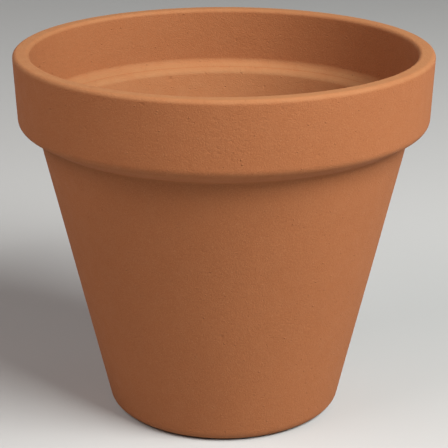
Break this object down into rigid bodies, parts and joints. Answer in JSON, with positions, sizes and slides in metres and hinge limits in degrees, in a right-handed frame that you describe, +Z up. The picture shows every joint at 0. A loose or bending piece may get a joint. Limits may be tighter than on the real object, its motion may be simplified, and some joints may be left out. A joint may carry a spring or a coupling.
{
  "type": "plant pot",
  "caption": "Terracotta plant pot: one fired-clay body with a tapered wall, a deep collar with a sloping ledge inside it, a foot ring and a central drain hole.",
  "frame": {"origin": "centre of the pot's base, on the surface that it stands on", "axes": "+Z up along the pot's own axis, towards the rim; the pot is round, so X and Y are any two directions across it"},
  "size_m": [0.21, 0.2099, 0.1883],
  "materials": {
    "terracotta": "matte unglazed fired clay"
  },
  "bodies": {
    "root": {"pot_body": "terracotta"}
  },
  "joints": []
}
